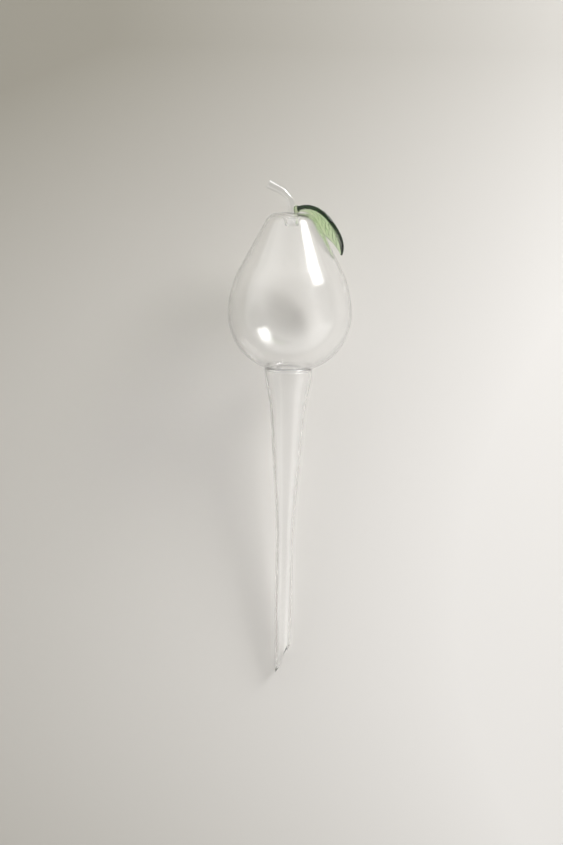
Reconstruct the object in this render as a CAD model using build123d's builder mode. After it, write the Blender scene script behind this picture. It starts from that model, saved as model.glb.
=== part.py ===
from build123d import *
import os
from math import acos, atan2, cos, degrees, hypot, pi, radians, sin, sqrt, tan

# A watering globe of flame-worked glass in the shape of a pear. A hollow bulb holds the water
# and opens through its base into a drawn spike, which lets the water out into the soil. A bent
# rod makes the stalk, and a pressed green leaf is sealed to its side.
# Millimetres. Z is the axis of bulb and spike, and Z = 0 is the mouth of the spike, at the soil.
# The stalk bends towards -X and the leaf hangs towards +X.

# Bulb
bulb_diameter = 70.0
bulb_height = 89.0
belly_height = 32.0
flank_radius = 58.0
shoulder_radius = 8.0
throat_diameter = 14.0
bulb_wall = 1.4

# Dimple at the crown
dimple_rim_diameter = 15.0
dimple_seat_diameter = 5.4
dimple_depth = 6.0

# Spike
spike_length = 177.5
mouth_diameter = 26.8
shank_diameter = 9.8
shank_start = 101.0
shank_length = 42.0
tip_diameter = 7.6
tip_cut_angle = 64.0
tip_round = 0.35
spike_wall = 1.3

# Places down the spike's trumpet as shares of its length, and how much of the flare is left there
upper_place_share = 0.15
upper_flare_share = 0.73
middle_place_share = 0.45
middle_flare_share = 0.40
lower_place_share = 0.76
lower_flare_share = 0.12

# Ring that seals the bulb to the spike
seal_height = 1.6
seal_bulge = 0.35

# Stalk and the bead at its foot
stalk_foot_diameter = 3.8
stalk_bend_diameter = 4.1
stalk_end_diameter = 5.6
stalk_upright = 5.4
stalk_bend_radius = 12.8
stalk_bend_angle = 65.0
stalk_straight = 7.0
stalk_end_round = 0.7
foot_bead_height = 2.2

# Leaf
leaf_base_gap = 0.95
leaf_base_rise = 2.2
leaf_tip_depth = 23.0
leaf_tip_standoff = 3.75
leaf_bend_easing = 1.85
leaf_tightest_share = 0.64
leaf_start_angle = 103.5
leaf_tip_angle = -5.0
leaf_width = 21.8
leaf_base_width = 3.4
leaf_tip_width = 0.6
leaf_thickness = 2.5
leaf_tip_thickness = 0.9
leaf_rim_share = 0.9
leaf_droop = 2.65
leaf_base_roll = 12.0
leaf_tip_roll = 23.0
leaf_sections = 9

# Grooves pressed into the leaf, with places along it as shares of its length
midrib_start_share = 0.06
midrib_end_share = 0.92
midrib_width = 1.1
midrib_spans = 6
vein_pairs = 7
first_vein_share = 0.13
vein_spacing_share = 0.1
vein_sweep_share = 0.17
vein_reach_share = 0.86
vein_width = 0.8
vein_spans = 3

# Bead that seals the leaf to the stalk
joint_diameter = 4.6

os.makedirs("parts", exist_ok=True)

bulb_radius = bulb_diameter / 2
mouth_radius = mouth_diameter / 2
throat_radius = throat_diameter / 2
rim_radius = dimple_rim_diameter / 2
seat_radius = dimple_seat_diameter / 2
lip_radius = rim_radius - seat_radius
seat_height = bulb_height - dimple_depth

# The base arc stands upright at the belly and passes the top of the seal.
base_reach = bulb_radius - mouth_radius
base_radius = (base_reach**2 + (belly_height - seal_height) ** 2) / (2 * base_reach)
base_centre = (bulb_radius - base_radius, belly_height)

# The straight flank touches the flank arc and the shoulder arc at the same lean.
flank_centre = (bulb_radius - flank_radius, belly_height)
shoulder_centre = (rim_radius, bulb_height - shoulder_radius)
centres_x = shoulder_centre[0] - flank_centre[0]
centres_z = shoulder_centre[1] - flank_centre[1]
centres_angle = atan2(centres_z, centres_x)
flank_lean = degrees(centres_angle - acos((flank_radius - shoulder_radius) / hypot(centres_x, centres_z)))


def flank_reach(height):
    """Radius of the bulb's flank at a height above the belly."""
    lean = radians(flank_lean)
    arc_top = belly_height + flank_radius * sin(lean)
    if height < arc_top:
        return flank_centre[0] + sqrt(flank_radius**2 - (height - belly_height) ** 2)
    return flank_centre[0] + flank_radius * cos(lean) - (height - arc_top) * tan(lean)


def bulb_skin(inset):
    """Draw the bulb's outline from throat to dimple, moved in by a wall's thickness."""
    throat_angle = degrees(acos((throat_radius - base_centre[0]) / (base_radius - inset)))
    base = CenterArc(base_centre, base_radius - inset, -throat_angle, throat_angle)
    flank = CenterArc(flank_centre, flank_radius - inset, 0, flank_lean)
    shoulder = CenterArc(shoulder_centre, shoulder_radius - inset, flank_lean, 90 - flank_lean)
    Line(flank @ 1, shoulder @ 0)
    lip = CenterArc((rim_radius, bulb_height - lip_radius), lip_radius - inset, 90, 90)
    Line(lip @ 1, (seat_radius + inset, seat_height))
    return base @ 0


with BuildPart() as pear_bulb:
    with BuildSketch(Plane.XZ):
        with BuildLine():
            lip_outer = bulb_skin(0)
            lip_inner = bulb_skin(bulb_wall)
            lip_middle = (lip_outer + lip_inner) / 2 - Vector(bulb_wall / 2, 0)
            ThreePointArc(lip_outer, lip_middle, lip_inner)
            CenterArc((seat_radius, seat_height), bulb_wall, -90, 90)
            Polyline(
                (seat_radius, seat_height),
                (0, seat_height),
                (0, seat_height - bulb_wall),
                (seat_radius, seat_height - bulb_wall),
            )
        make_face()
    revolve(axis=Axis.Z)
pear_bulb.part.label = "pear_bulb"

# Ring of fused glass, a little fatter than the wall of the spike on both sides. Its top takes
# the curve of the bulb's base.
seal_inner = mouth_radius - spike_wall
seal_top = seal_height + bulb_wall / 2
with BuildPart() as neck_seal:
    with BuildSketch(Plane.XZ):
        with BuildLine():
            Line((seal_inner, 0), (mouth_radius, 0))
            ThreePointArc(
                (mouth_radius, 0),
                (mouth_radius + seal_bulge, seal_height / 2),
                (mouth_radius, seal_height),
            )
            Polyline((mouth_radius, seal_height), (mouth_radius, seal_top), (seal_inner, seal_top))
            ThreePointArc((seal_inner, seal_top), (seal_inner - seal_bulge, seal_top / 2), (seal_inner, 0))
        make_face()
    revolve(axis=Axis.Z)
    add(pear_bulb.part, mode=Mode.SUBTRACT)
neck_seal.part.label = "neck_seal"

# Spike: a trumpet taper from the mouth to a straight shank, then a slight narrowing to the tip.
shank_radius = shank_diameter / 2
tip_radius = tip_diameter / 2
shank_end = shank_start + shank_length


def taper_points(wall):
    """Outline of the trumpet, drawn in by a wall's thickness."""
    flare = mouth_radius - shank_radius
    inner_shank = shank_radius - wall
    return [
        (inner_shank + flare, 0),
        (inner_shank + upper_flare_share * flare, -upper_place_share * shank_start),
        (inner_shank + middle_flare_share * flare, -middle_place_share * shank_start),
        (inner_shank + lower_flare_share * flare, -lower_place_share * shank_start),
        (inner_shank, -shank_start),
    ]


with BuildPart() as spike_tube:
    with BuildSketch(Plane.XZ):
        with BuildLine():
            Spline(*taper_points(0), tangents=((0, -1), (0, -1)))
            Polyline(
                (shank_radius, -shank_start),
                (shank_radius, -shank_end),
                (tip_radius, -spike_length),
                (tip_radius - spike_wall, -spike_length),
                (shank_radius - spike_wall, -shank_end),
                (shank_radius - spike_wall, -shank_start),
            )
            Spline(*reversed(taper_points(spike_wall)), tangents=((0, 1), (0, 1)))
            Line((mouth_radius - spike_wall, 0), (mouth_radius, 0))
        make_face()
    revolve(axis=Axis.Z)
    # The slanting cut leaves the longest side of the tip towards -X, and the flame rounds its rim.
    cut_normal = (sin(radians(tip_cut_angle)), 0, -cos(radians(tip_cut_angle)))
    split(bisect_by=Plane(origin=(-tip_radius, 0, -spike_length), z_dir=cut_normal), keep=Keep.BOTTOM)
    tip_face = spike_tube.faces().filter_by(GeomType.PLANE).sort_by(Axis.Z)[0]
    fillet(tip_face.edges(), tip_round)
spike_tube.part.label = "spike_tube"

# Bead in the dimple: it stands on the seat and draws in to the stalk.
foot_radius = stalk_foot_diameter / 2
foot_top = seat_height + foot_bead_height
with BuildPart() as stalk_foot:
    with BuildSketch(Plane.XZ):
        with BuildLine():
            Polyline((0, foot_top), (0, seat_height), (seat_radius, seat_height))
            TangentArc((seat_radius, seat_height), (foot_radius, foot_top), tangent=(0, 1))
            Line((foot_radius, foot_top), (0, foot_top))
        make_face()
    revolve(axis=Axis.Z)
stalk_foot.part.label = "stalk_foot"

# Stalk: upright, then bent over, and thicker towards its cut end.
with BuildLine(Plane.XZ) as stalk_path:
    upright = Line((0, foot_top), (0, foot_top + stalk_upright))
    bend = JernArc(upright @ 1, tangent=upright % 1, radius=stalk_bend_radius, arc_size=stalk_bend_angle)
    PolarLine(bend @ 1, stalk_straight, direction=bend % 1)
stalk_centre = stalk_path.wire()
with BuildPart() as stalk:
    for along, diameter in ((0, stalk_foot_diameter), (0.5, stalk_bend_diameter), (1, stalk_end_diameter)):
        with BuildSketch(Plane(stalk_centre @ along, z_dir=stalk_centre % along)):
            Circle(diameter / 2)
    sweep(path=stalk_centre, multisection=True)
    fillet(stalk.faces().sort_by(Axis.X)[0].edges(), stalk_end_round)
stalk.part.label = "stalk"

# Leaf: crescent sections set along the bend of the midrib, which starts beside the stalk above
# the crown and hangs clear of the flank. The bend eases out to both ends. Both rims droop, and
# the blade rolls more towards its tip, with the rim at -Y outwards. It is widest past its middle
# and runs out to a point.
leaf_start = radians(leaf_start_angle)
leaf_finish = radians(leaf_tip_angle)
leaf_base_x = foot_radius + leaf_base_gap
leaf_base_z = bulb_height + leaf_base_rise
leaf_tip_z = bulb_height - leaf_tip_depth
leaf_tip_x = flank_reach(leaf_tip_z) + leaf_tip_standoff
bend_reach = (leaf_tip_x - leaf_base_x) / (cos(leaf_finish) - cos(leaf_start))
bend_rise = (leaf_base_z - leaf_tip_z) / (sin(leaf_start) - sin(leaf_finish))
bend_centre_x = leaf_base_x - bend_reach * cos(leaf_start)
bend_centre_z = leaf_base_z - bend_rise * sin(leaf_start)


def leaf_plane(along):
    """Plane of the blade's section at a share of its length, X across it and Y outwards."""
    angle = leaf_start + (leaf_finish - leaf_start) * along
    outward = Vector(cos(angle), 0, sin(angle))
    onward = Vector(sin(angle), 0, -cos(angle))
    tightness = sin(pi * leaf_tightest_share) ** 2 - sin(pi * (along - leaf_tightest_share)) ** 2
    even_bend = Vector(bend_centre_x + bend_reach * cos(angle), 0, bend_centre_z + bend_rise * sin(angle))
    middle = even_bend - outward * leaf_bend_easing * tightness
    roll = radians(leaf_base_roll + (leaf_tip_roll - leaf_base_roll) * along)
    across = Vector(0, 1, 0) * cos(roll) - outward * sin(roll)
    return Plane(middle, x_dir=across, z_dir=onward)


def leaf_half_width(along):
    """Half the blade's width at a share of its length."""
    ends = leaf_base_width + (leaf_tip_width - leaf_base_width) * along
    return (ends + (leaf_width - ends) * sin(pi * along**1.05)) / 2


def leaf_half_thickness(along):
    """Half the blade's thickness at the midrib, thinned towards the tip."""
    return (leaf_thickness + (leaf_tip_thickness - leaf_thickness) * along**3) / 2


def leaf_rim_drop(along):
    """Drop of the rims below the midrib, for one curve across the whole blade."""
    return leaf_droop * (2 * leaf_half_width(along) / leaf_width) ** 2


def leaf_top(along, share):
    """Point of the outer face, at a share of the half width from the midrib."""
    half = leaf_half_width(along)
    thick = leaf_half_thickness(along)
    fall = thick * (1 - leaf_rim_share) + leaf_rim_drop(along)
    curve = (half**2 + fall**2) / (2 * fall)
    across = share * half
    return leaf_plane(along).from_local_coords((across, thick - curve + sqrt(curve**2 - across**2), 0))


with BuildPart() as leaf_blade:
    for number in range(leaf_sections):
        along = number / (leaf_sections - 1)
        half = leaf_half_width(along)
        droop = leaf_rim_drop(along)
        thick = leaf_half_thickness(along)
        rim = thick * leaf_rim_share
        with BuildSketch(leaf_plane(along)):
            with BuildLine():
                ThreePointArc((-half, rim - droop), (0, thick), (half, rim - droop))
                ThreePointArc((half, rim - droop), (half + rim, -droop), (half, -rim - droop))
                ThreePointArc((half, -rim - droop), (0, -thick), (-half, -rim - droop))
                ThreePointArc((-half, -rim - droop), (-half - rim, -droop), (-half, rim - droop))
            make_face()
    loft()
    # The press leaves round grooves in the outer face: one along the midrib, and pairs of side
    # veins that run from it towards the tip.
    midrib_step = (midrib_end_share - midrib_start_share) / midrib_spans
    midrib_shares = [midrib_start_share + midrib_step * number for number in range(midrib_spans + 1)]
    with BuildLine() as midrib:
        Spline(*[leaf_top(along, 0) for along in midrib_shares])
    with BuildSketch(Plane(midrib.line @ 0, z_dir=midrib.line % 0)):
        Circle(midrib_width / 2)
    sweep(path=midrib.line, mode=Mode.SUBTRACT)
    for number in range(vein_pairs):
        vein_start = first_vein_share + vein_spacing_share * number
        for side in (-vein_reach_share, vein_reach_share):
            steps = [step / vein_spans for step in range(vein_spans + 1)]
            with BuildLine() as vein:
                Spline(*[leaf_top(vein_start + vein_sweep_share * step, side * step) for step in steps])
            with BuildSketch(Plane(vein.line @ 0, z_dir=vein.line % 0)):
                Circle(vein_width / 2)
            sweep(path=vein.line, mode=Mode.SUBTRACT)
leaf_blade.part.label = "leaf_blade"

# Bead between the stalk and the base of the leaf.
leaf_base = leaf_plane(0).origin
with BuildPart() as leaf_joint:
    with Locations(((foot_radius + leaf_base.X) / 2, 0, leaf_base.Z)):
        Sphere(joint_diameter / 2)
    add(stalk.part, mode=Mode.SUBTRACT)
    add(leaf_blade.part, mode=Mode.SUBTRACT)
leaf_joint.part.label = "leaf_joint"

for piece in (pear_bulb, neck_seal, spike_tube, stalk_foot, stalk, leaf_blade, leaf_joint):
    export_step(piece.part, f"parts/{piece.part.label}.step")
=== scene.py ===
# %% [markdown]
# # A pear-shaped watering globe of glass
# The globe is flame-worked: a hollow pear holds the water, a drawn spike lets it out into the
# soil, and a bent rod with a pressed green leaf stands on top as a stalk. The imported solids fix
# every size and place, so the first step loads them and keeps their box to compare with later.

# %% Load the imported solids
import math

import bpy
import numpy as np
from mathutils import Matrix, Vector


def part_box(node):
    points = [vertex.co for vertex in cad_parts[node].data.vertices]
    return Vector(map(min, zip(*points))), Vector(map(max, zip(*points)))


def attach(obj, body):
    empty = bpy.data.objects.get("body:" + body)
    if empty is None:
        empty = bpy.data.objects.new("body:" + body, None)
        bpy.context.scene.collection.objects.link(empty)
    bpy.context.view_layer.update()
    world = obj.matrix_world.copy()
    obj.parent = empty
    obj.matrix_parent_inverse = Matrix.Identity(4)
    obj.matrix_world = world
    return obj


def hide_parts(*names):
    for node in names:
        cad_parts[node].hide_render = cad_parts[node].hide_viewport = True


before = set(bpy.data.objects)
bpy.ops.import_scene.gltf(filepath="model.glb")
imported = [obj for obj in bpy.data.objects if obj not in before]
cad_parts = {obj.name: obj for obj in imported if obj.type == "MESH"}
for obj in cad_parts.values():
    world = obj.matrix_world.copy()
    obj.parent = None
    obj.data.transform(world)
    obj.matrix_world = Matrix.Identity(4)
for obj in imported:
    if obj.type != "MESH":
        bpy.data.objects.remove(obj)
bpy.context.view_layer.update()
print("solids:", ", ".join(sorted(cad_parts)))

# %% [markdown]
# Glass shows every facet twice, once in its reflections and once through its wall, so each piece
# is modelled again with an even, fine mesh. Round pieces start as half an outline in the XZ plane.
# It could be typed as a list of points, but drawing it is closer to how a glass worker's template
# is drawn: one vertex is extruded along straight runs and spun along arcs. The finished outline is
# then spun round the Z axis.

# %% A pen that draws outlines
MM = 0.001
OUTLINE_STEP = 1.1
FEWEST_ARC_STEPS = 6
JOIN = 0.001
SHARP_EDGE = math.radians(50)


class Outline:
    """A piece that begins as one vertex and is drawn in the XZ plane, in millimetres."""

    def __init__(self, name, radius, height):
        bpy.ops.object.select_all(action="DESELECT")
        bpy.ops.mesh.primitive_plane_add(size=MM)
        self.piece = bpy.context.object
        self.piece.name = name
        self.at = (radius, height)
        bpy.ops.object.mode_set(mode="EDIT")
        bpy.ops.mesh.merge(type="CENTER")
        bpy.ops.transform.translate(value=Vector((radius, 0, height)) * MM)

    def line_to(self, radius, height):
        """Extrude the pen's vertex along a straight run."""
        step = Vector((radius - self.at[0], 0, height - self.at[1])) * MM
        bpy.ops.mesh.extrude_region_move(TRANSFORM_OT_translate={"value": step})
        self.at = (radius, height)

    def arc(self, centre, turn):
        """Spin the pen's vertex round a centre by some degrees, from X towards Z where positive."""
        reach = (self.at[0] - centre[0], self.at[1] - centre[1])
        length = abs(math.radians(turn)) * math.hypot(*reach)
        steps = max(FEWEST_ARC_STEPS, math.ceil(length / OUTLINE_STEP))
        middle = Vector((centre[0], 0, centre[1])) * MM
        bpy.ops.mesh.spin(steps=steps, angle=math.radians(turn), center=middle, axis=(0, 1, 0))
        cosine, sine = math.cos(math.radians(turn)), math.sin(math.radians(turn))
        self.at = (
            centre[0] + cosine * reach[0] - sine * reach[1],
            centre[1] + sine * reach[0] + cosine * reach[1],
        )

    def turn_round(self, steps):
        """Spin the outline round Z, join its seam and its poles, and face it outwards."""
        bpy.ops.mesh.select_all(action="SELECT")
        bpy.ops.mesh.spin(steps=steps, angle=math.tau, center=(0, 0, 0), axis=(0, 0, 1))
        bpy.ops.mesh.select_all(action="SELECT")
        bpy.ops.mesh.remove_doubles(threshold=JOIN * MM)
        bpy.ops.mesh.normals_make_consistent(inside=False)
        return self.piece


def smooth(piece):
    """Leave edit mode with smooth shading, but keep the sharp edges."""
    bpy.ops.object.mode_set(mode="OBJECT")
    bpy.ops.object.shade_smooth_by_angle(angle=SHARP_EDGE)
    print(f"{piece.name}: {len(piece.data.polygons)} faces")


# %% [markdown]
# The bulb is blown, so its wall has two skins: light bends on the outer one and again on the inner
# one. The outline therefore starts at the middle of the crown's dimple, runs down the outside to
# the throat in the base, rolls over the throat's lip and climbs back up the inside. Four arcs and
# a straight flank make the pear, and the inner skin uses the same centres with smaller radii.

# %% Sizes of the bulb
BULB_RADIUS = 35.0
BULB_HEIGHT = 89.0
BELLY_HEIGHT = 32.0
BULB_WALL = 1.4
FLANK_RADIUS = 58.0
SHOULDER_RADIUS = 8.0
THROAT_RADIUS = 7.0
MOUTH_RADIUS = 13.4
SPIKE_WALL = 1.3
SEAL_HEIGHT = 1.6
RIM_RADIUS = 7.5
SEAT_RADIUS = 2.7
SEAT_HEIGHT = 83.0
BULB_FACETS = 176

base_reach = BULB_RADIUS - MOUTH_RADIUS
base_radius = (base_reach**2 + (BELLY_HEIGHT - SEAL_HEIGHT) ** 2) / (2 * base_reach)
base_centre = (BULB_RADIUS - base_radius, BELLY_HEIGHT)
flank_centre = (BULB_RADIUS - FLANK_RADIUS, BELLY_HEIGHT)
shoulder_centre = (RIM_RADIUS, BULB_HEIGHT - SHOULDER_RADIUS)
lip_radius = RIM_RADIUS - SEAT_RADIUS
lip_centre = (RIM_RADIUS, BULB_HEIGHT - lip_radius)
centres = Vector(shoulder_centre) - Vector(flank_centre)
tangent = math.acos((FLANK_RADIUS - SHOULDER_RADIUS) / centres.length)
lean = math.atan2(centres.y, centres.x) - tangent
lean_degrees = math.degrees(lean)


def on_arc(centre, radius, angle):
    """Point of an arc at an angle in radians."""
    return centre[0] + radius * math.cos(angle), centre[1] + radius * math.sin(angle)


print(f"flank leans {lean_degrees:.1f} degrees")

# %% [markdown]
# The outer skin is drawn first. The straight flank is extruded in short steps, because long thin
# faces would bend the mirror images. The base arc stops where the ring at the neck begins and ends,
# so that the faces under the ring can be told from the others later.


# %% The outer skin of the bulb
def base_turn(radius, wall):
    """Degrees of the base arc from the belly down to a radius."""
    return math.degrees(math.acos((radius - base_centre[0]) / (base_radius - wall)))


def draw_run(outline, radius, height, steps):
    """Extrude a straight run in equal steps, so that its faces stay short."""
    start, run = Vector(outline.at), Vector((radius, height)) - Vector(outline.at)
    for number in range(1, steps + 1):
        outline.line_to(*(start + run * number / steps))


pen = Outline("bulb_glass", 0, SEAT_HEIGHT)
pen.line_to(SEAT_RADIUS / 2, SEAT_HEIGHT)
pen.line_to(SEAT_RADIUS, SEAT_HEIGHT)
pen.line_to(SEAT_RADIUS, lip_centre[1])
pen.arc(lip_centre, -90)
pen.arc(shoulder_centre, lean_degrees - 90)
flank_top = on_arc(flank_centre, FLANK_RADIUS, lean)
flank_steps = math.ceil((Vector(flank_top) - Vector(pen.at)).length / OUTLINE_STEP)
draw_run(pen, *flank_top, flank_steps)
pen.arc(flank_centre, -lean_degrees)
turned = 0
for radius in (MOUTH_RADIUS, MOUTH_RADIUS - SPIKE_WALL, THROAT_RADIUS):
    pen.arc(base_centre, turned - base_turn(radius, 0))
    turned = base_turn(radius, 0)
print("outer skin ends at", [round(value, 2) for value in pen.at])

# %% [markdown]
# A worker melts the throat's edge round in the flame, so half a turn joins the two skins there. The
# inner skin then follows the outer one back to the crown, one wall away. A Solidify modifier could
# give the wall too, but drawing both skins keeps the thickness true in the tight dimple.

# %% The throat's lip and the inner skin
throat_turn = base_turn(THROAT_RADIUS, BULB_WALL)
lip_out = Vector(pen.at)
lip_in = Vector(on_arc(base_centre, base_radius - BULB_WALL, -math.radians(throat_turn)))
lip_middle = (lip_out + lip_in) / 2
pen.arc(lip_middle, -180)
pen.arc(base_centre, throat_turn)
pen.arc(flank_centre, lean_degrees)
draw_run(pen, *on_arc(shoulder_centre, SHOULDER_RADIUS - BULB_WALL, lean), flank_steps)
pen.arc(shoulder_centre, 90 - lean_degrees)
pen.arc(lip_centre, 90)
pen.line_to(SEAT_RADIUS + BULB_WALL, SEAT_HEIGHT)
pen.arc((SEAT_RADIUS, SEAT_HEIGHT), -90)
pen.line_to(SEAT_RADIUS / 2, SEAT_HEIGHT - BULB_WALL)
pen.line_to(0, SEAT_HEIGHT - BULB_WALL)
bulb = pen.turn_round(BULB_FACETS)
smooth(bulb)

# %% [markdown]
# The spike is drawn from a tube: it leaves the bulb as a wide trumpet, runs into a straight shank
# and narrows a little to its tip. The trumpet is one soft curve through a few radii, so a cubic
# spline that stands upright at both ends finds the radii between them. Both walls are drawn in one
# outline that stays open at the bottom.

# %% Sizes of the spike
SHANK_RADIUS = 4.9
SHANK_START = 101.0
SHANK_LENGTH = 42.0
TIP_RADIUS = 3.8
SPIKE_LENGTH = 177.5
TAPER_STEPS = 64
TAPER_PLACES = (0, 0.15, 0.45, 0.76, 1)
TAPER_FLARES = (1, 0.73, 0.40, 0.12, 0)

taper_place = np.array(TAPER_PLACES) * SHANK_START
taper_radius = SHANK_RADIUS + np.array(TAPER_FLARES) * (MOUTH_RADIUS - SHANK_RADIUS)
spans = np.diff(taper_place)
slopes = np.diff(taper_radius) / spans
system = np.eye(len(taper_place))
wanted = np.zeros(len(taper_place))
for row in range(1, len(taper_place) - 1):
    before, after = 1 / spans[row - 1], 1 / spans[row]
    system[row, row - 1 : row + 2] = before, 2 * (before + after), after
    wanted[row] = 3 * (slopes[row - 1] * before + slopes[row] * after)
taper_slope = np.linalg.solve(system, wanted)


def trumpet(depth):
    """Outer radius of the spike at a depth below its mouth."""
    span = min(int(np.searchsorted(taper_place, depth, side="right")) - 1, len(spans) - 1)
    share = (depth - taper_place[span]) / spans[span]
    start, end = taper_radius[span : span + 2]
    lead, painted_shade = taper_slope[span : span + 2] * spans[span]
    rest = 1 - share
    ends = start * rest**2 * (1 + 2 * share) + end * share**2 * (1 + 2 * rest)
    return float(ends + lead * share * rest**2 - painted_shade * share**2 * rest)


print("trumpet radii:", [round(trumpet(depth), 2) for depth in taper_place])

# %% [markdown]
# The pen starts below the tip, climbs the outside to the mouth and comes down the inside again. The
# spare length at the bottom is cut off in the next step. The mouth ends a trace above the bulb's
# base plane, inside the ring of melted glass.

# %% The spike's two walls
MOUTH_OVERLAP = 0.03
TIP_SPARE = 2.0
TIP_STEPS = 20
SHANK_STEPS = 16
SPIKE_FACETS = 112
taper_rate = (SHANK_RADIUS - TIP_RADIUS) / (SPIKE_LENGTH - SHANK_START - SHANK_LENGTH)
spare_radius = TIP_RADIUS - taper_rate * TIP_SPARE
shank_end = -(SHANK_START + SHANK_LENGTH)

pen = Outline("spike_glass", spare_radius, -SPIKE_LENGTH - TIP_SPARE)
draw_run(pen, SHANK_RADIUS, shank_end, TIP_STEPS)
draw_run(pen, SHANK_RADIUS, -SHANK_START, SHANK_STEPS)
for number in range(TAPER_STEPS - 1, -1, -1):
    depth = SHANK_START * number / TAPER_STEPS
    pen.line_to(trumpet(depth), -depth)
pen.line_to(MOUTH_RADIUS, MOUTH_OVERLAP)
pen.line_to(MOUTH_RADIUS - SPIKE_WALL, MOUTH_OVERLAP)
for number in range(TAPER_STEPS + 1):
    depth = SHANK_START * number / TAPER_STEPS
    pen.line_to(trumpet(depth) - SPIKE_WALL, -depth)
draw_run(pen, SHANK_RADIUS - SPIKE_WALL, shank_end, SHANK_STEPS)
draw_run(pen, spare_radius - SPIKE_WALL, -SPIKE_LENGTH - TIP_SPARE, TIP_STEPS)
spike = pen.turn_round(SPIKE_FACETS)
print(f"spike drawn down to {-pen.at[1]:.1f} mm below its mouth")

# %% [markdown]
# The tip is cut on a slant and its rim is melted round in the flame. A bisect makes the cut, a
# bridge closes the wall between the two cut loops, and a bevel rounds both of its edges.

# %% The slanting tip
TIP_CUT_ANGLE = math.radians(64.0)
TIP_ROUND = 0.35
TIP_ROUND_STEPS = 4
cut_point = Vector((-TIP_RADIUS, 0, -SPIKE_LENGTH)) * MM
cut_normal = Vector((math.sin(TIP_CUT_ANGLE), 0, -math.cos(TIP_CUT_ANGLE)))
bpy.ops.mesh.select_all(action="SELECT")
bpy.ops.mesh.bisect(plane_co=cut_point, plane_no=cut_normal, clear_outer=True)
bpy.ops.mesh.bridge_edge_loops()
bpy.ops.mesh.region_to_loop()
bpy.ops.mesh.bevel(offset=TIP_ROUND * MM, segments=TIP_ROUND_STEPS, affect="EDGES")
bpy.ops.mesh.select_all(action="SELECT")
bpy.ops.mesh.normals_make_consistent(inside=False)
smooth(spike)

# %% [markdown]
# A ring of melted glass seals the bulb to the spike. On the real globe the pieces are one there,
# so the ring reaches a few hundredths of a millimetre into its neighbours. Light then crosses the
# joint almost straight, where a gap of air would show as a mirror.

# %% The ring at the neck
SEAL_BULGE = 0.35
SEAL_REACH = 0.05
BULGE_STEPS = 10
seal_inner = MOUTH_RADIUS - SPIKE_WALL
seal_middle = (seal_inner + MOUTH_RADIUS) / 2


def base_height(radius):
    """Height of the bulb's base at a radius."""
    return BELLY_HEIGHT - math.sqrt(base_radius**2 - (radius - base_centre[0]) ** 2)


def draw_bulge(outline, radius, low, high, bulge):
    """Draw a shallow outward bow from one height to another at a radius."""
    for number in range(1, BULGE_STEPS + 1):
        share = number / BULGE_STEPS
        outline.line_to(radius + bulge * math.sin(math.pi * share), low + (high - low) * share)


pen = Outline("seal_glass", seal_inner, -SEAL_REACH)
pen.line_to(seal_middle, -SEAL_REACH)
pen.line_to(MOUTH_RADIUS, -SEAL_REACH)
draw_bulge(pen, MOUTH_RADIUS, -SEAL_REACH, base_height(MOUTH_RADIUS) + SEAL_REACH, SEAL_BULGE)
pen.line_to(seal_middle, base_height(seal_middle) + SEAL_REACH)
pen.line_to(seal_inner, base_height(seal_inner) + SEAL_REACH)
draw_bulge(pen, seal_inner, base_height(seal_inner) + SEAL_REACH, -SEAL_REACH, -SEAL_BULGE)
seal = pen.turn_round(SPIKE_FACETS)
smooth(seal)

# %% [markdown]
# The stalk stands in the crown's dimple on a bead of melted glass. The bead draws in from the seat
# to the stalk, faster and faster, as melted glass does. It too reaches slightly into its neighbours.

# %% The bead at the stalk's foot
STALK_FOOT_RADIUS = 1.9
FOOT_HEIGHT = 2.2
FOOT_STEPS = 12
FOOT_FACETS = 64
foot_top = SEAT_HEIGHT + FOOT_HEIGHT
foot_radius = SEAT_RADIUS - SEAL_REACH
pen = Outline("foot_glass", 0, SEAT_HEIGHT - SEAL_REACH)
pen.line_to(SEAT_RADIUS / 2, SEAT_HEIGHT - SEAL_REACH)
pen.line_to(foot_radius, SEAT_HEIGHT - SEAL_REACH)
pen.line_to(foot_radius, SEAT_HEIGHT + SEAL_REACH)
for number in range(1, FOOT_STEPS + 1):
    share = number / FOOT_STEPS
    radius = foot_radius - (foot_radius - STALK_FOOT_RADIUS) * share**2
    pen.line_to(radius, SEAT_HEIGHT + SEAL_REACH + (FOOT_HEIGHT - SEAL_REACH) * share)
pen.line_to(STALK_FOOT_RADIUS / 2, foot_top)
pen.line_to(0, foot_top)
foot = pen.turn_round(FOOT_FACETS)
smooth(foot)

# %% [markdown]
# The stalk is a solid rod that was bent while hot and thickens towards its cut end. It grows from
# a disc: each step extrudes the end face a little further, turns it about the Y axis as far as the
# bend goes there, and scales it to the rod's radius at that place. A bevel melts the end's edge.

# %% The bent stalk
STALK_UPRIGHT = 5.4
STALK_BEND_RADIUS = 12.8
STALK_BEND = math.radians(65.0)
STALK_STRAIGHT = 7.0
STALK_BEND_WIDTH = 2.05
STALK_END_RADIUS = 2.8
STALK_END_ROUND = 0.7
STALK_ROUND_STEPS = 6
STALK_STEPS = 54
STALK_FACETS = 64
bend_length = STALK_BEND_RADIUS * STALK_BEND
stalk_length = STALK_UPRIGHT + bend_length + STALK_STRAIGHT


def stalk_place(share):
    """Centre and lean of the stalk's line, at a share of its length."""
    run = share * stalk_length
    bent = min(max(run - STALK_UPRIGHT, 0) / STALK_BEND_RADIUS, STALK_BEND)
    out = STALK_BEND_RADIUS * (1 - math.cos(bent))
    up = foot_top + min(run, STALK_UPRIGHT) + STALK_BEND_RADIUS * math.sin(bent)
    beyond = max(run - STALK_UPRIGHT - bend_length, 0)
    return Vector((-out - beyond * math.sin(bent), 0, up + beyond * math.cos(bent))) * MM, bent


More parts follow.
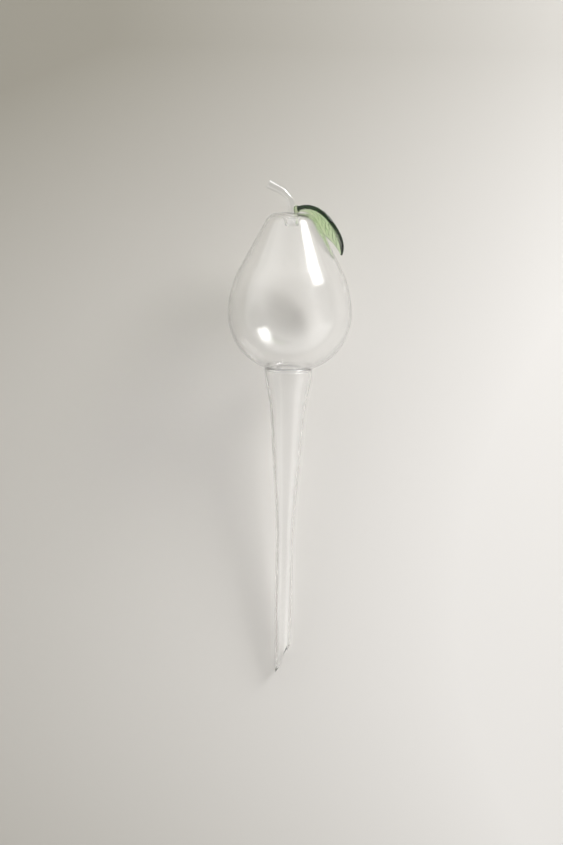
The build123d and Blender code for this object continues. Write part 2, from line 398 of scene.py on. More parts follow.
def stalk_radius(share):
    """Radius of the stalk, by the one curve through its foot, middle and end."""
    foot_part = STALK_FOOT_RADIUS * (1 - share) * (1 - 2 * share)
    middle_part = STALK_BEND_WIDTH * 4 * share * (1 - share)
    end_part = STALK_END_RADIUS * share * (2 * share - 1)
    return foot_part + middle_part + end_part


def make_stalk(name, thinner):
    """Model the stalk, thinner all round by some millimetres."""
    bpy.ops.object.select_all(action="DESELECT")
    place, bent = stalk_place(0)
    place = place - Vector((0, 0, SEAL_REACH * MM))
    radius = (stalk_radius(0) - thinner) * MM
    bpy.ops.mesh.primitive_circle_add(vertices=STALK_FACETS, radius=radius, fill_type="NGON")
    piece = bpy.context.object
    piece.name = name
    bpy.ops.object.mode_set(mode="EDIT")
    bpy.ops.transform.translate(value=place)
    for number in range(1, STALK_STEPS + 1):
        share = number / STALK_STEPS
        next_place, next_bent = stalk_place(share)
        next_radius = (stalk_radius(share) - thinner) * MM
        bpy.ops.mesh.extrude_region_move(TRANSFORM_OT_translate={"value": next_place - place})
        turn = next_bent - bent
        bpy.ops.transform.rotate(
            value=turn, orient_axis="Y", orient_type="GLOBAL", center_override=next_place
        )
        grow = next_radius / radius
        bpy.ops.transform.resize(value=(grow, grow, grow), center_override=next_place)
        place, bent, radius = next_place, next_bent, next_radius
    bpy.ops.mesh.region_to_loop()
    bpy.ops.mesh.bevel(offset=STALK_END_ROUND * MM, segments=STALK_ROUND_STEPS, affect="EDGES")
    bpy.ops.mesh.select_all(action="SELECT")
    bpy.ops.mesh.normals_make_consistent(inside=False)
    return piece


stalk = make_stalk("stalk_glass", 0)
smooth(stalk)

# %% [markdown]
# The leaf is the piece that takes the most skill: a gather of green glass is pressed flat between
# two veined plates, drawn to a point and bent over the shoulder while soft. A flat grid is a good
# start, since its two directions become the way along the blade and the way round its section.
# Every vertex is set on the blade's own curve, the grid's long sides meet and are merged, and the
# open ends are filled. The sizes are those of the solid, so that the leaf hangs in the same place.

# %% The line of the leaf
LEAF_BASE_GAP = 0.95
LEAF_BASE_RISE = 2.2
LEAF_TIP_DEPTH = 23.0
LEAF_TIP_STANDOFF = 3.75
LEAF_BEND_EASING = 1.85
LEAF_TIGHTEST = 0.64
LEAF_START = math.radians(103.5)
LEAF_FINISH = math.radians(-5.0)
LEAF_BASE_ROLL = 12.0
LEAF_TIP_ROLL = 23.0
LEAF_MEASURES = 100

leaf_base_x = STALK_FOOT_RADIUS + LEAF_BASE_GAP
leaf_base_z = BULB_HEIGHT + LEAF_BASE_RISE
leaf_tip_z = BULB_HEIGHT - LEAF_TIP_DEPTH
leaf_tip_x = flank_top[0] - (leaf_tip_z - flank_top[1]) * math.tan(lean) + LEAF_TIP_STANDOFF
bend_reach = (leaf_tip_x - leaf_base_x) / (math.cos(LEAF_FINISH) - math.cos(LEAF_START))
bend_rise = (leaf_base_z - leaf_tip_z) / (math.sin(LEAF_START) - math.sin(LEAF_FINISH))
bend_x = leaf_base_x - bend_reach * math.cos(LEAF_START)
bend_z = leaf_base_z - bend_rise * math.sin(LEAF_START)
bend_centre = Vector((bend_x, 0, bend_z))


def leaf_frame(along):
    """Middle of the blade's section, and its directions across and outwards."""
    angle = LEAF_START + (LEAF_FINISH - LEAF_START) * along
    outward = Vector((math.cos(angle), 0, math.sin(angle)))
    slack = math.sin(math.pi * (along - LEAF_TIGHTEST)) ** 2
    tightness = math.sin(math.pi * LEAF_TIGHTEST) ** 2 - slack
    middle = bend_centre + Vector((bend_reach * math.cos(angle), 0, bend_rise * math.sin(angle)))
    roll = math.radians(LEAF_BASE_ROLL + (LEAF_TIP_ROLL - LEAF_BASE_ROLL) * along)
    across = Vector((0, 1, 0)) * math.cos(roll) - outward * math.sin(roll)
    normal = outward * math.cos(roll) + Vector((0, 1, 0)) * math.sin(roll)
    return middle - outward * LEAF_BEND_EASING * tightness, across, normal


line = [leaf_frame(number / LEAF_MEASURES)[0] for number in range(LEAF_MEASURES + 1)]
leaf_length = sum((end - start).length for start, end in zip(line, line[1:]))
print(f"the leaf is {leaf_length:.1f} mm long")

# %% [markdown]
# Across, the blade droops from a midrib to two thin, round rims. The veins are pressed into its upper
# face: one groove along the middle, and slanting pairs that fade out before the rim. They could be
# a bump in the finish, but light that passes through the blade shows real changes of thickness.

# %% The blade's outline and its pressed veins
LEAF_WIDTH = 21.8
LEAF_BASE_WIDTH = 3.4
LEAF_TIP_WIDTH = 0.6
LEAF_THICKNESS = 2.5
LEAF_TIP_THICKNESS = 0.9
LEAF_FULLNESS = 1.05
LEAF_THINNING = 3
LEAF_DROOP = 2.65
RIM_SHARE = 0.9
MIDRIB_DEPTH = 0.5
MIDRIB_HALF = 0.75
VEIN_DEPTH = 0.5
VEIN_HALF = 0.6
VEIN_PAIRS = 7
FIRST_VEIN = 0.13
VEIN_SPACING = 0.1
VEIN_SWEEP = 0.17
VEIN_REACH = 0.86
MIDRIB_START, MIDRIB_RISE = 0.03, 0.06
MIDRIB_END, MIDRIB_FALL = 0.95, 0.08
VEIN_END, VEIN_FALL = 1.04, 0.12


def bell(distance, half):
    """Soft hollow of depth 1 that ends at a half width."""
    return 0.5 + 0.5 * math.cos(math.pi * min(abs(distance) / half, 1))


def ease(value):
    """Rise smoothly from 0 to 1."""
    value = min(max(value, 0), 1)
    return value * value * (3 - 2 * value)


def leaf_half(along):
    """Half the blade's width."""
    ends = LEAF_BASE_WIDTH + (LEAF_TIP_WIDTH - LEAF_BASE_WIDTH) * along
    return (ends + (LEAF_WIDTH - ends) * math.sin(math.pi * along**LEAF_FULLNESS)) / 2


def pressed(along, share):
    """Depth of the veins at a place along the blade and across it."""
    half = leaf_half(along)
    rise = ease((along - MIDRIB_START) / MIDRIB_RISE)
    fall = ease((MIDRIB_END - along) / MIDRIB_FALL)
    depth = MIDRIB_DEPTH * bell(share * half, MIDRIB_HALF) * (rise * fall)
    reach = abs(share) / VEIN_REACH
    vein_fall = ease((VEIN_END - reach) / VEIN_FALL)
    slant = half * VEIN_REACH / math.hypot(half * VEIN_REACH, VEIN_SWEEP * leaf_length)
    for number in range(VEIN_PAIRS):
        place = FIRST_VEIN + VEIN_SPACING * number + VEIN_SWEEP * reach
        groove = bell((along - place) * leaf_length * slant, VEIN_HALF)
        depth = max(depth, VEIN_DEPTH * groove * vein_fall)
    return depth


print(f"the veins lie {VEIN_SPACING * leaf_length:.1f} mm apart")

# %% [markdown]
# A section of the blade is walked round in four stretches: the veined upper face, the round far rim,
# the plain under face and the round near rim. Each face takes nearly half of the way, so most of
# the grid's rows lie where the veins are.

# %% A point of the blade's skin
FACE_SHARE = 0.46
RIM_TURN = 0.04
UNDER_START = 0.5
NEAR_RIM_START = 0.96


def leaf_point(along, around):
    """Point of the blade's skin, at shares of the way along it and round its section."""
    half = leaf_half(along)
    thick = (LEAF_THICKNESS + (LEAF_TIP_THICKNESS - LEAF_THICKNESS) * along**LEAF_THINNING) / 2
    rim = thick * RIM_SHARE
    droop = LEAF_DROOP * (2 * half / LEAF_WIDTH) ** 2
    if around < FACE_SHARE:
        share = around / FACE_SHARE * 2 - 1
        across = share * half
        height = thick - (thick - rim + droop) * share**2 - pressed(along, share)
    elif around < UNDER_START:
        turn = math.pi * (around - FACE_SHARE) / RIM_TURN
        across = half + rim * math.sin(turn)
        height = rim * math.cos(turn) - droop
    elif around < NEAR_RIM_START:
        share = 1 - (around - UNDER_START) / FACE_SHARE * 2
        across = share * half
        height = -thick - (droop + rim - thick) * share**2
    else:
        turn = math.pi * (around - NEAR_RIM_START) / RIM_TURN
        across = -half - rim * math.sin(turn)
        height = -rim * math.cos(turn) - droop
    middle, across_way, normal = leaf_frame(along)
    return (middle + across_way * across + normal * height) * MM


halves = [leaf_half(number / LEAF_MEASURES) for number in range(LEAF_MEASURES + 1)]
print(f"the leaf is {2 * max(halves):.1f} mm wide at most")

# %% [markdown]
# The grid is fine enough for the narrow veins. Its long sides meet at the near rim, where merging
# the doubles closes the blade, and a face fills each open end.

# %% The leaf
LEAF_ROWS = 220
LEAF_ROUND = 200
GRID_SIZE = 2


def make_leaf(name):
    """Roll a grid into the blade."""
    bpy.ops.object.select_all(action="DESELECT")
    bpy.ops.mesh.primitive_grid_add(x_subdivisions=LEAF_ROWS, y_subdivisions=LEAF_ROUND, size=GRID_SIZE)
    piece = bpy.context.object
    piece.name = name
    for vertex in piece.data.vertices:
        vertex.co = leaf_point((vertex.co.x + 1) / GRID_SIZE, (vertex.co.y + 1) / GRID_SIZE)
    bpy.ops.object.mode_set(mode="EDIT")
    bpy.ops.mesh.select_all(action="SELECT")
    bpy.ops.mesh.remove_doubles(threshold=JOIN * MM)
    bpy.ops.mesh.select_all(action="DESELECT")
    bpy.ops.mesh.select_mode(type="EDGE")
    bpy.ops.mesh.select_non_manifold(extend=False)
    bpy.ops.mesh.edge_face_add()
    bpy.ops.mesh.select_mode(type="VERT")
    bpy.ops.mesh.select_all(action="SELECT")
    bpy.ops.mesh.normals_make_consistent(inside=False)
    return piece


leaf = make_leaf("leaf_glass")
smooth(leaf)

# %% [markdown]
# A last bead of glass seals the leaf's base to the side of the stalk. It starts as a sphere between
# the two and is cut by them with Boolean modifiers. The stalk that cuts it is a little thinner than
# the real one, so that the bead reaches into it as the other seals do.

# %% The bead between stalk and leaf
BEAD_RADIUS = 2.3
BEAD_SEGMENTS = 64
BEAD_RINGS = 32
bead_middle = Vector(((STALK_FOOT_RADIUS + leaf_base_x) / 2, 0, leaf_base_z)) * MM
thin_stalk = make_stalk("thin_stalk", SEAL_REACH)
bpy.ops.object.mode_set(mode="OBJECT")
bpy.ops.object.select_all(action="DESELECT")
bpy.ops.mesh.primitive_uv_sphere_add(
    segments=BEAD_SEGMENTS, ring_count=BEAD_RINGS, radius=BEAD_RADIUS * MM
)
bead = bpy.context.object
bead.name = "bead_glass"
bpy.ops.object.mode_set(mode="EDIT")
bpy.ops.transform.translate(value=bead_middle)
bpy.ops.object.mode_set(mode="OBJECT")
for cutter in (thin_stalk, leaf):
    cut = bead.modifiers.new("cut", "BOOLEAN")
    cut.operation = "DIFFERENCE"
    cut.object = cutter
    bpy.ops.object.modifier_apply(modifier=cut.name)
bpy.data.objects.remove(thin_stalk)
smooth(bead)

# %% [markdown]
# Every piece rides on the one body and stands for its solid, which is then hidden. Its box is
# compared with the solid's, to see that it is the same piece in the same place.

# %% Bind the pieces to the solids
GLASS_PIECES = {
    "pear_bulb": bulb,
    "neck_seal": seal,
    "spike_tube": spike,
    "stalk_foot": foot,
    "stalk": stalk,
    "leaf_joint": bead,
    "leaf_blade": leaf,
}
for node, piece in GLASS_PIECES.items():
    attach(piece, "root")
    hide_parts(node)
    corners = np.array([piece.matrix_world @ Vector(corner) for corner in piece.bound_box])
    off = np.abs(np.array([corners.min(axis=0), corners.max(axis=0)]) - np.array(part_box(node))).max()
    print(f"{piece.name} stands for {node}, boxes differ by {off / MM:.2f} mm")

# %% [markdown]
# Shader nodes are easier to read as sums, so one small class wraps a socket. A sum on it adds Math
# nodes, and one method adds any other node with its settings and sockets.

# %% A class for shader sums
class Wire:
    """A socket in a node tree."""

    def __init__(self, tree, socket=None):
        self.tree = tree
        self.socket = socket

    def node(self, kind, settings, sockets, output=0):
        """Add a node, set it up, feed its sockets and give one of its outputs."""
        made = self.tree.nodes.new(kind)
        for name, value in settings.items():
            setattr(made, name, value)
        for name, value in sockets.items():
            if isinstance(value, Wire):
                self.tree.links.new(value.socket, made.inputs[name])
            else:
                made.inputs[name].default_value = value
        return Wire(self.tree, made.outputs[output] if made.outputs else None)

    def sum(self, operation, first, second):
        """Add a Math node."""
        return self.node("ShaderNodeMath", {"operation": operation}, {0: first, 1: second})

    def __add__(self, other):
        return self.sum("ADD", self, other)

    def __radd__(self, other):
        return self.sum("ADD", other, self)

    def __sub__(self, other):
        return self.sum("SUBTRACT", self, other)

    def __rsub__(self, other):
        return self.sum("SUBTRACT", other, self)

    def __mul__(self, other):
        return self.sum("MULTIPLY", self, other)

    def __rmul__(self, other):
        return self.sum("MULTIPLY", other, self)


def new_material(name):
    """A material with an empty node tree, and a wire into it."""
    material = bpy.data.materials.new(name)
    material.use_nodes = True
    material.node_tree.nodes.clear()
    return material, Wire(material.node_tree)


def noise(wire, place, scale, detail):
    """Soft noise at a scale, in lumps per metre."""
    sockets = {"Vector": place, "Scale": scale, "Detail": detail}
    return wire.node("ShaderNodeTexNoise", {}, sockets)


def raised(wire, height, strength=1.0):
    """Normal of a skin that has small heights, in metres."""
    sockets = {"Height": height, "Strength": strength, "Distance": 1.0}
    return wire.node("ShaderNodeBump", {}, sockets)


def soft_step(wire, value, start, end, most=1.0):
    """Rise softly from 0 where a value is at its start to the most at its end."""
    sockets = {"Value": value, "From Min": start, "From Max": end, "To Min": 0.0, "To Max": most}
    return wire.node("ShaderNodeMapRange", {"interpolation_type": "SMOOTHSTEP"}, sockets)


def blend(wire, share, first, second):
    """Go from one colour to another."""
    sockets = {"Factor": share, "A": first, "B": second}
    return wire.node("ShaderNodeMix", {"data_type": "RGBA"}, sockets, 2)


def coordinate(wire, vector, axis):
    """One coordinate of a vector."""
    return wire.node("ShaderNodeSeparateXYZ", {}, {"Vector": vector}, axis)


print("shader sums are ready")

# %% [markdown]
# Hand-blown glass is never quite even. Its skin has slow waves from the turning and fine lines from
# the drawing, and a faint film softens some of its gloss. The waves and lines are small heights in
# a Bump node, and the film is a change of roughness. The spike's lines run lengthways, so its noise
# is stretched along Z. The rods and beads are polished by the flame and shine more than the blown
# walls, which a clear coat gives them.

# %% Clear glass
GLASS_IOR = 1.47
PLAIN_SHINE = 0.5
COAT_ROUGHNESS = 0.08
COAT_IOR = 1.9
FILM_SCALE = 55.0


def glass(name, stretch, waves, lines, film, polish):
    """Clear glass. Waves and lines are a size and a height in millimetres, film is a range of roughness."""
    material, wire = new_material(name)
    place = wire.node("ShaderNodeTexCoord", {}, {}, "Object")
    drawn = wire.node("ShaderNodeMapping", {}, {"Vector": place, "Scale": (1, 1, stretch)})
    wave_noise = noise(wire, drawn, 1 / (waves[0] * MM), detail=1.0)
    line_noise = noise(wire, drawn, 1 / (lines[0] * MM), detail=2.0)
    height = wave_noise * (waves[1] * MM) + line_noise * (lines[1] * MM)
    rough = noise(wire, place, FILM_SCALE, detail=4.0) * (film[1] - film[0]) + film[0]
    body = wire.node(
        "ShaderNodeBsdfPrincipled",
        {},
        {
            "Base Color": (1, 1, 1, 1),
            "Roughness": rough,
            "IOR": GLASS_IOR,
            "Transmission Weight": 1.0,
            "Coat Weight": polish,
            "Coat Roughness": COAT_ROUGHNESS,
            "Coat IOR": COAT_IOR,
            "Specular IOR Level": PLAIN_SHINE * (1 + polish),
            "Normal": raised(wire, height),
        },
    )
    wire.node("ShaderNodeOutputMaterial", {}, {"Surface": body})
    return material


blown_glass = glass(
    "blown_glass", stretch=0.6, waves=(26, 0.012), lines=(6, 0.0001), film=(0.05, 0.13), polish=0.0
)
drawn_glass = glass(
    "drawn_glass", stretch=0.06, waves=(7, 0.003), lines=(1.6, 0.0002), film=(0.04, 0.1), polish=0.0
)
rod_glass = glass(
    "rod_glass", stretch=0.3, waves=(5, 0.01), lines=(1.2, 0.002), film=(0.0, 0.03), polish=1.0
)
CLEAR_PIECES = {bulb: blown_glass, seal: rod_glass, spike: drawn_glass, foot: rod_glass, stalk: rod_glass}
for piece, finish in CLEAR_PIECES.items():
    piece.data.materials.clear()
    piece.data.materials.append(finish)
print("clear glass on", len(CLEAR_PIECES), "pieces")

# %% [markdown]
# Where two pieces are fused there is no skin between them any more. The faces that touch stay on
# both pieces, so that each is closed, but they get a finish that lets the light straight through.
# They are found by their place: the ring's two ends, the spike's mouth, the bulb's band over the
# ring and its seat, and the two ends of the bead under the stalk.

# %% Fused faces
FUSED_NEAR = SEAL_REACH + 0.02
LEVEL_ENOUGH = 0.5


def at_seat(radius, height):
    """Face on the seat in the dimple, or on what stands there."""
    return radius < SEAT_RADIUS and abs(height - SEAT_HEIGHT) < FUSED_NEAR


def at_foot_top(radius, height):
    """Face between the stalk and its bead."""
    return radius < STALK_FOOT_RADIUS and abs(height - foot_top) < FUSED_NEAR


def at_mouth(radius, height):
    """Face between the spike and the ring."""
    return seal_inner < radius < MOUTH_RADIUS and abs(height) < FUSED_NEAR


def at_base(radius, height):
    """Face between the ring and the bulb's base."""
    return seal_inner < radius < MOUTH_RADIUS and abs(height - base_height(radius)) < FUSED_NEAR


fused, wire = new_material("fused_face")
no_skin = wire.node("ShaderNodeBsdfPrincipled", {}, {"Alpha": 0.0})
wire.node("ShaderNodeOutputMaterial", {}, {"Surface": no_skin})
FUSED_PLACES = (at_seat, at_foot_top, at_mouth, at_base)
for piece in CLEAR_PIECES:
    piece.data.materials.append(fused)
    count = 0
    for face in piece.data.polygons:
        radius, height = math.hypot(*face.center[:2]) / MM, face.center.z / MM
        level = abs(face.normal.z) > LEVEL_ENOUGH
        if level and any(test(radius, height) for test in FUSED_PLACES):
            face.material_index = 1
            count += 1
    print(f"{piece.name}: {count} fused faces")

# %% [markdown]
# Green glass gets its colour from its thickness: a ray across the thin blade comes out pale green,
# and a ray along it comes out much darker. A Volume Absorption node does that by itself. Along its
# near edge the blade is seen almost end-on and looks nearly black, darker than the absorption makes
# it, so that edge is painted almost black: painted shade in the glass's colour. There are also fine
# streaks where the gather was drawn out. The grid that the leaf was rolled from has kept its UV map,
# which tells a place along the blade and round it, so the painted shade and the streaks follow the leaf.

# %% Green glass
LEAF_ABSORPTION = (95.0, 42.0, 165.0)
PALE_GREEN = (0.93, 1.0, 0.87, 1)
STREAK_GREEN = (0.42, 0.62, 0.33, 1)
# Painted shade: almost black green for the blade's near edge, where it is seen end-on.
PAINTED_EDGE_SHADE = (0.003, 0.014, 0.002, 1)
PAINTED_SHADE_START = 0.53
PAINTED_SHADE_FULL = 0.63
STREAKS_ALONG = 6
STREAKS_ACROSS = 26
STREAK_SLANT = 12
STREAK_START = 0.5
STREAK_FULL = 0.66


def leaf_colour(wire):
    """Pale green with fine streaks, and painted shade in almost black along the near edge."""
    place = wire.node("ShaderNodeUVMap", {}, {}, "UV")
    along, around = coordinate(wire, place, "X"), coordinate(wire, place, "Y")
    near = wire.node("ShaderNodeMath", {"operation": "ABSOLUTE"}, {0: around * 2 - 1})
    slanted = near * STREAKS_ACROSS + along * STREAK_SLANT
    drawn = wire.node("ShaderNodeCombineXYZ", {}, {"X": along * STREAKS_ALONG, "Y": slanted})
    streaks = noise(wire, drawn, scale=1.0, detail=2.0)
    streak = soft_step(wire, streaks, STREAK_START, STREAK_FULL)
    # Painted shade along the near edge, standing in for the darkness seen along the blade.
    painted_shade = soft_step(wire, near, PAINTED_SHADE_START, PAINTED_SHADE_FULL)
    return blend(wire, painted_shade, blend(wire, streak, PALE_GREEN, STREAK_GREEN), PAINTED_EDGE_SHADE)


print("the dark trail covers", round(1 - PAINTED_SHADE_FULL, 2), "of the way round the blade")

# %% [markdown]
# Both green pieces share one finish: fine ripples from the pressing and slow swirls from the melt
# bend the light a little. The bead was melted together with clear glass, so it is greyer, and it
# takes half as much of the light.

# %% Finish of the leaf and its bead
BEAD_GREEN = (0.8, 0.83, 0.76, 1)
BEAD_SHARE = 0.5
GREEN_SHINE = 0.2
GREEN_ROUGHNESS = 0.06
RIPPLE_SCALE, RIPPLE_HEIGHT = 900.0, 0.006
SWIRL_SCALE, SWIRL_HEIGHT = 160.0, 0.03


def bead_colour(wire):
    """The same greyish green all over."""
    return BEAD_GREEN


def tint(name, strength, colour):
    """Glass that takes some of each colour per metre of its depth."""
    material, wire = new_material(name)
    place = wire.node("ShaderNodeTexCoord", {}, {}, "Object")
    ripples = noise(wire, place, RIPPLE_SCALE, detail=2.0)
    swirls = noise(wire, place, SWIRL_SCALE, detail=2.0)
    height = ripples * (RIPPLE_HEIGHT * MM) + swirls * (SWIRL_HEIGHT * MM)
    body = wire.node(
        "ShaderNodeBsdfPrincipled",
        {},
        {
            "Base Color": colour(wire),
            "Roughness": swirls * GREEN_ROUGHNESS,
            "IOR": GLASS_IOR,
            "Specular IOR Level": GREEN_SHINE,
            "Transmission Weight": 1.0,
            "Normal": raised(wire, height),
        },
    )
    most = max(LEAF_ABSORPTION)
    kept = [1 - value / most for value in LEAF_ABSORPTION]
    depth = wire.node(
        "ShaderNodeVolumeAbsorption", {}, {"Color": (*kept, 1), "Density": most * strength}
    )
    wire.node("ShaderNodeOutputMaterial", {}, {"Surface": body, "Volume": depth})
    return material


leaf.data.materials.clear()
leaf.data.materials.append(tint("leaf_green_glass", 1.0, leaf_colour))
bead.data.materials.clear()
bead.data.materials.append(tint("melted_green_glass", BEAD_SHARE, bead_colour))
print("green glass on the leaf and its bead")

# %% [markdown]
# The camera looks straight at the surface that the globe rests against: the belly and the tip both
# touch it, so the axis of the globe leans a little towards the camera at the top.

# %% Camera
VIEW_TARGET = Vector((-3.3, 0, -30)) * MM
VIEW_LEAN = math.radians(8.7)
VIEW_ROLL = math.radians(1.25)
VIEW_DISTANCE = 1.0
LENS_LENGTH = 74.56
SENSOR_WIDTH = 36.0
back = Vector((0, -math.cos(VIEW_LEAN), math.sin(VIEW_LEAN)))
level_right = Vector((1, 0, 0))
level_up = Vector((0, math.sin(VIEW_LEAN), math.cos(VIEW_LEAN)))
right = level_right * math.cos(VIEW_ROLL) + level_up * math.sin(VIEW_ROLL)
up = level_up * math.cos(VIEW_ROLL) - level_right * math.sin(VIEW_ROLL)


def stand(place, right_way, up_way, back_way):
    """Matrix that stands a thing at a place, with its axes along three ways."""
    return Matrix.Translation(place) @ Matrix((right_way, up_way, back_way)).transposed().to_4x4()


bpy.ops.object.camera_add()
camera = bpy.context.object
camera.data.lens = LENS_LENGTH
camera.data.sensor_width = SENSOR_WIDTH
camera.matrix_world = stand(VIEW_TARGET + back * VIEW_DISTANCE, right, up, back)
bpy.context.scene.camera = camera
print("camera at", [round(value, 3) for value in camera.location])

# %% [markdown]
# The stage is one large pale sheet behind the globe, which rests on it. Seen from behind the sheet
# would hide the globe, so its back lets the view through.

# %% Backdrop
SHEET_BEHIND = 25.6
SHEET_SIZE = 3.0
bpy.ops.object.select_all(action="DESELECT")
bpy.ops.mesh.primitive_plane_add(size=SHEET_SIZE)
sheet = bpy.context.object
sheet.name = "pale_sheet"
sheet.matrix_world = stand(VIEW_TARGET - back * SHEET_BEHIND * MM, level_right, level_up, back)
print(f"sheet of {SHEET_SIZE} m, {SHEET_BEHIND} mm behind the middle of the view")

# %% [markdown]
# The sheet is matt, with a fine grain. Light and shade are painted into its colour: it is painted
# paler towards the window's side, where the window's light would fall, and darker towards the top and
# bottom, by a sum of slopes and curves. Past the picture's edges the painted light goes over to one
# even grey, so that its lit part doesn't glare in a view from the side.

# %% Painted light and shade on the sheet
# The paper is painted between these two colours as painted shade and painted light.
PAINTED_SHADE_PAPER = (0.37, 0.35, 0.30, 1)
PAINTED_LIGHT_PAPER = (0.88, 0.86, 0.835, 1)
FAR_PAPER = (0.5, 0.49, 0.47, 1)
MIDDLE_TONE = 0.70
SIDE_SLOPE, SIDE_CURVE = 2.1, 2.1
HEIGHT_SLOPE, HEIGHT_CURVE = 1.1, 5.4
SIDE_REACH = 0.2
LOWEST, HIGHEST = -0.28, 0.22
FAR_START, FAR_FULL = 0.3, 0.75
GRAIN_SCALE, GRAIN_HEIGHT, GRAIN_STRENGTH = 900.0, 0.02, 0.4
PAPER_ROUGHNESS = 0.9
PAPER_SHINE = 0.2
material, wire = new_material("pale_paper")
place = wire.node("ShaderNodeTexCoord", {}, {}, "Object")
side_range = {"Value": coordinate(wire, place, "X"), "Min": -SIDE_REACH, "Max": SIDE_REACH}
height_range = {"Value": coordinate(wire, place, "Y"), "Min": LOWEST, "Max": HIGHEST}
side = wire.node("ShaderNodeClamp", {}, side_range)
high = wire.node("ShaderNodeClamp", {}, height_range)
# Painted light towards the window's side, painted shade towards the top and bottom.
painted_window_light = side * SIDE_SLOPE + side * side * SIDE_CURVE
painted_top_bottom_shade = high * HEIGHT_SLOPE + high * high * HEIGHT_CURVE
painted_light_tone = blend(wire, MIDDLE_TONE + painted_window_light - painted_top_bottom_shade, PAINTED_SHADE_PAPER, PAINTED_LIGHT_PAPER)
away = wire.node("ShaderNodeVectorMath", {"operation": "LENGTH"}, {0: place}, "Value")
# Far from the globe the painted light fades to an even grey.
painted_light_tone = blend(wire, soft_step(wire, away, FAR_START, FAR_FULL), painted_light_tone, FAR_PAPER)
grain = noise(wire, place, GRAIN_SCALE, detail=3.0) * (GRAIN_HEIGHT * MM)
paper = wire.node(
    "ShaderNodeBsdfPrincipled",
    {},
    {
        "Base Color": painted_light_tone,
        "Roughness": PAPER_ROUGHNESS,
        "Specular IOR Level": PAPER_SHINE,
        "Normal": raised(wire, grain, GRAIN_STRENGTH),
    },
)
open_back = wire.node("ShaderNodeBsdfTransparent", {}, {})
behind = wire.node("ShaderNodeNewGeometry", {}, {}, "Backfacing")
sides = wire.node("ShaderNodeMixShader", {}, {0: behind, 1: paper, 2: open_back})
wire.node("ShaderNodeOutputMaterial", {}, {"Surface": sides})
sheet.data.materials.append(material)
print("the sheet has its tone")

# %% [markdown]
# The light is that of a bright room: pale walls and ceiling all round, and one window up to the
# right that stands low over the sheet. An area lamp gives its light, turned to face the globe.

# %% The window
WINDOW_AZIMUTH = math.radians(50)
WINDOW_HEIGHT = math.radians(19)
WINDOW_ROLL = math.radians(17)
WINDOW_DISTANCE = 1.3
WINDOW_SIZE = (1.1, 0.75)
WINDOW_BRIGHTNESS = 13.0
WINDOW_AIM = Vector((0, 0, 0.03))
window_way = (
    level_right * math.cos(WINDOW_HEIGHT) * math.cos(WINDOW_AZIMUTH)
    + level_up * math.cos(WINDOW_HEIGHT) * math.sin(WINDOW_AZIMUTH)
    + back * math.sin(WINDOW_HEIGHT)
)
level_side = back.cross(window_way).normalized()
level_top = window_way.cross(level_side)
window_side = level_side * math.cos(WINDOW_ROLL) - level_top * math.sin(WINDOW_ROLL)
window_top = level_top * math.cos(WINDOW_ROLL) + level_side * math.sin(WINDOW_ROLL)
bpy.ops.object.light_add(type="AREA")
window = bpy.context.object
window.name = "window"
window.data.shape = "RECTANGLE"
window.data.size, window.data.size_y = WINDOW_SIZE
window.data.energy = WINDOW_BRIGHTNESS * math.pi * WINDOW_SIZE[0] * WINDOW_SIZE[1]
window.matrix_world = stand(
    WINDOW_AIM + window_way * WINDOW_DISTANCE, window_side, window_top, window_way
)
print("window towards", [round(value, 2) for value in window_way])

# %% [markdown]
# A window's light fades towards its frame, and a thin curtain at one side dims it over a longer
# stretch, with a fade that is squared. The mirror images in the glass then get the same soft edges.
# The lamp's own Parametric coordinates tell the place on its pane.

# %% The window's soft edges
FRAME_FADE = 0.12
HEAD_FADE = 0.25
CURTAIN_FADE = 0.6
SILL_FADE = 0.45
window.data.use_nodes = True
window.data.node_tree.nodes.clear()
wire = Wire(window.data.node_tree)
pane = wire.node("ShaderNodeNewGeometry", {}, {}, "Parametric")
pane_x, pane_y = coordinate(wire, pane, "X"), coordinate(wire, pane, "Y")
curtain = soft_step(wire, 1 - pane_x, 0.0, CURTAIN_FADE)
across = soft_step(wire, pane_x, 0.0, FRAME_FADE) * curtain * curtain
upward = soft_step(wire, pane_y, 0.0, SILL_FADE) * soft_step(wire, 1 - pane_y, 0.0, HEAD_FADE)
glow = wire.node("ShaderNodeEmission", {}, {"Strength": across * upward})
wire.node("ShaderNodeOutputLight", {}, {"Surface": glow})
print("the window fades over", SILL_FADE, "of its height at the sill")

# %% [markdown]
# The rest of the room is pale too, a little brighter on the window's side, with one dim spot on the
# wall beside the window and a dimmer wall straight ahead of the sheet. The belly of the bulb
# mirrors both as a soft grey stain.

# %% The room
ROOM_BRIGHTNESS = 1.25
ROOM_COLOUR = (1.0, 0.99, 0.97, 1)
ROOM_LEAN = 0.35
BRIGHT_SIDE = level_right * 0.8 + level_up * 0.6
DIM_SPOT = level_right * 0.945 + level_up * 0.2 + back * 0.26
DIM_SPOT_EDGE = math.cos(math.radians(32))
DIM_SPOT_CORE = math.cos(math.radians(10))
DIM_SPOT_SHADE = 0.8
FRONT_EDGE, FRONT_CORE = 0.4, 0.95
FRONT_SHADE = 0.75
world = bpy.data.worlds.new("room")
bpy.context.scene.world = world
world.use_nodes = True
world.node_tree.nodes.clear()
wire = Wire(world.node_tree)
way = wire.node("ShaderNodeTexCoord", {}, {}, "Generated")


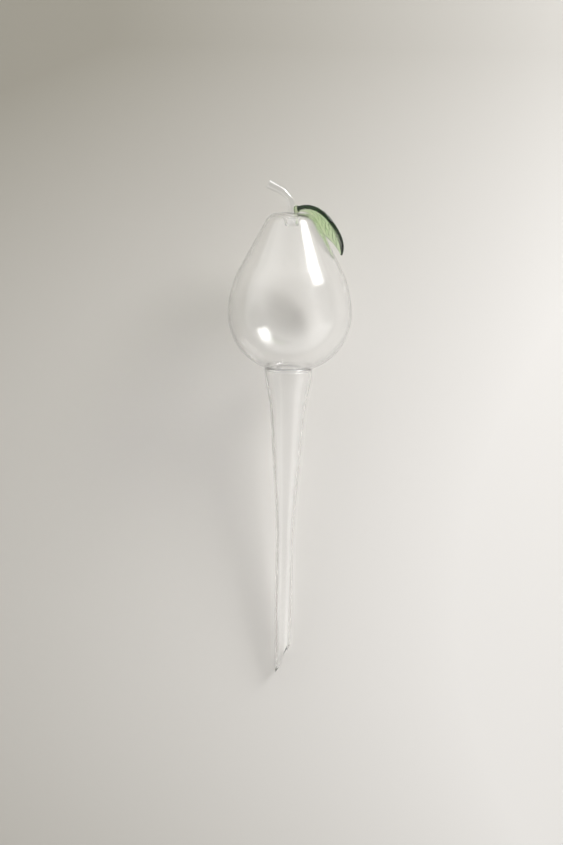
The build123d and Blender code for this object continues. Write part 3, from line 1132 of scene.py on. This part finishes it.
def towards(direction):
    """How far a ray goes in a direction, from 1 straight along it to -1 straight away."""
    settings = {"operation": "DOT_PRODUCT"}
    return wire.node("ShaderNodeVectorMath", settings, {0: way, 1: direction}, "Value")


sunny = towards(BRIGHT_SIDE)
spot = soft_step(wire, towards(DIM_SPOT), DIM_SPOT_EDGE, DIM_SPOT_CORE, DIM_SPOT_SHADE)
front = soft_step(wire, towards(back), FRONT_EDGE, FRONT_CORE, FRONT_SHADE)
level = (1 + sunny * ROOM_LEAN) * (1 - spot) * (1 - front) * ROOM_BRIGHTNESS
print("room lit to", ROOM_BRIGHTNESS)

# %% [markdown]
# The view itself sees only even, pale walls, and so does a ray that goes straight through the glass.
# The Light Path node tells such rays from those that light the sheet or make mirror images: they
# have not been mirrored or scattered on their way.

# %% What the view sees of the room
WALLS_SEEN = 0.8
NO_BOUNCE = 0.5
direct = wire.node("ShaderNodeLightPath", {}, {}, "Is Camera Ray")
through = wire.node("ShaderNodeLightPath", {}, {}, "Is Transmission Ray")
mirrored = wire.node("ShaderNodeLightPath", {}, {}, "Glossy Depth")
scattered = wire.node("ShaderNodeLightPath", {}, {}, "Diffuse Depth")
straight = wire.node(
    "ShaderNodeMath", {"operation": "LESS_THAN"}, {0: mirrored + scattered, 1: NO_BOUNCE}
)
seen = direct + through * straight
strength = level * (1 - seen) + seen * WALLS_SEEN
air = wire.node("ShaderNodeBackground", {}, {"Color": ROOM_COLOUR, "Strength": strength})
wire.node("ShaderNodeOutputWorld", {}, {"Surface": air})
print("walls seen at", WALLS_SEEN)

# %% [markdown]
# A ray may cross eight or more skins of glass on its way through the globe, so the number of
# bounces goes up. Light that has passed through the glass isn't blurred, because that would take
# the bright and dark lines out of the globe's shadow. The view transform stays plain.

# %% Render settings that belong to the scene
SKINS_CROSSED = 28
MIRRORINGS = 12
scene = bpy.context.scene
scene.view_settings.view_transform = "Standard"
scene.cycles.max_bounces = SKINS_CROSSED
scene.cycles.transmission_bounces = SKINS_CROSSED
scene.cycles.glossy_bounces = MIRRORINGS
scene.cycles.blur_glossy = 0
print("rays may cross", SKINS_CROSSED, "skins")
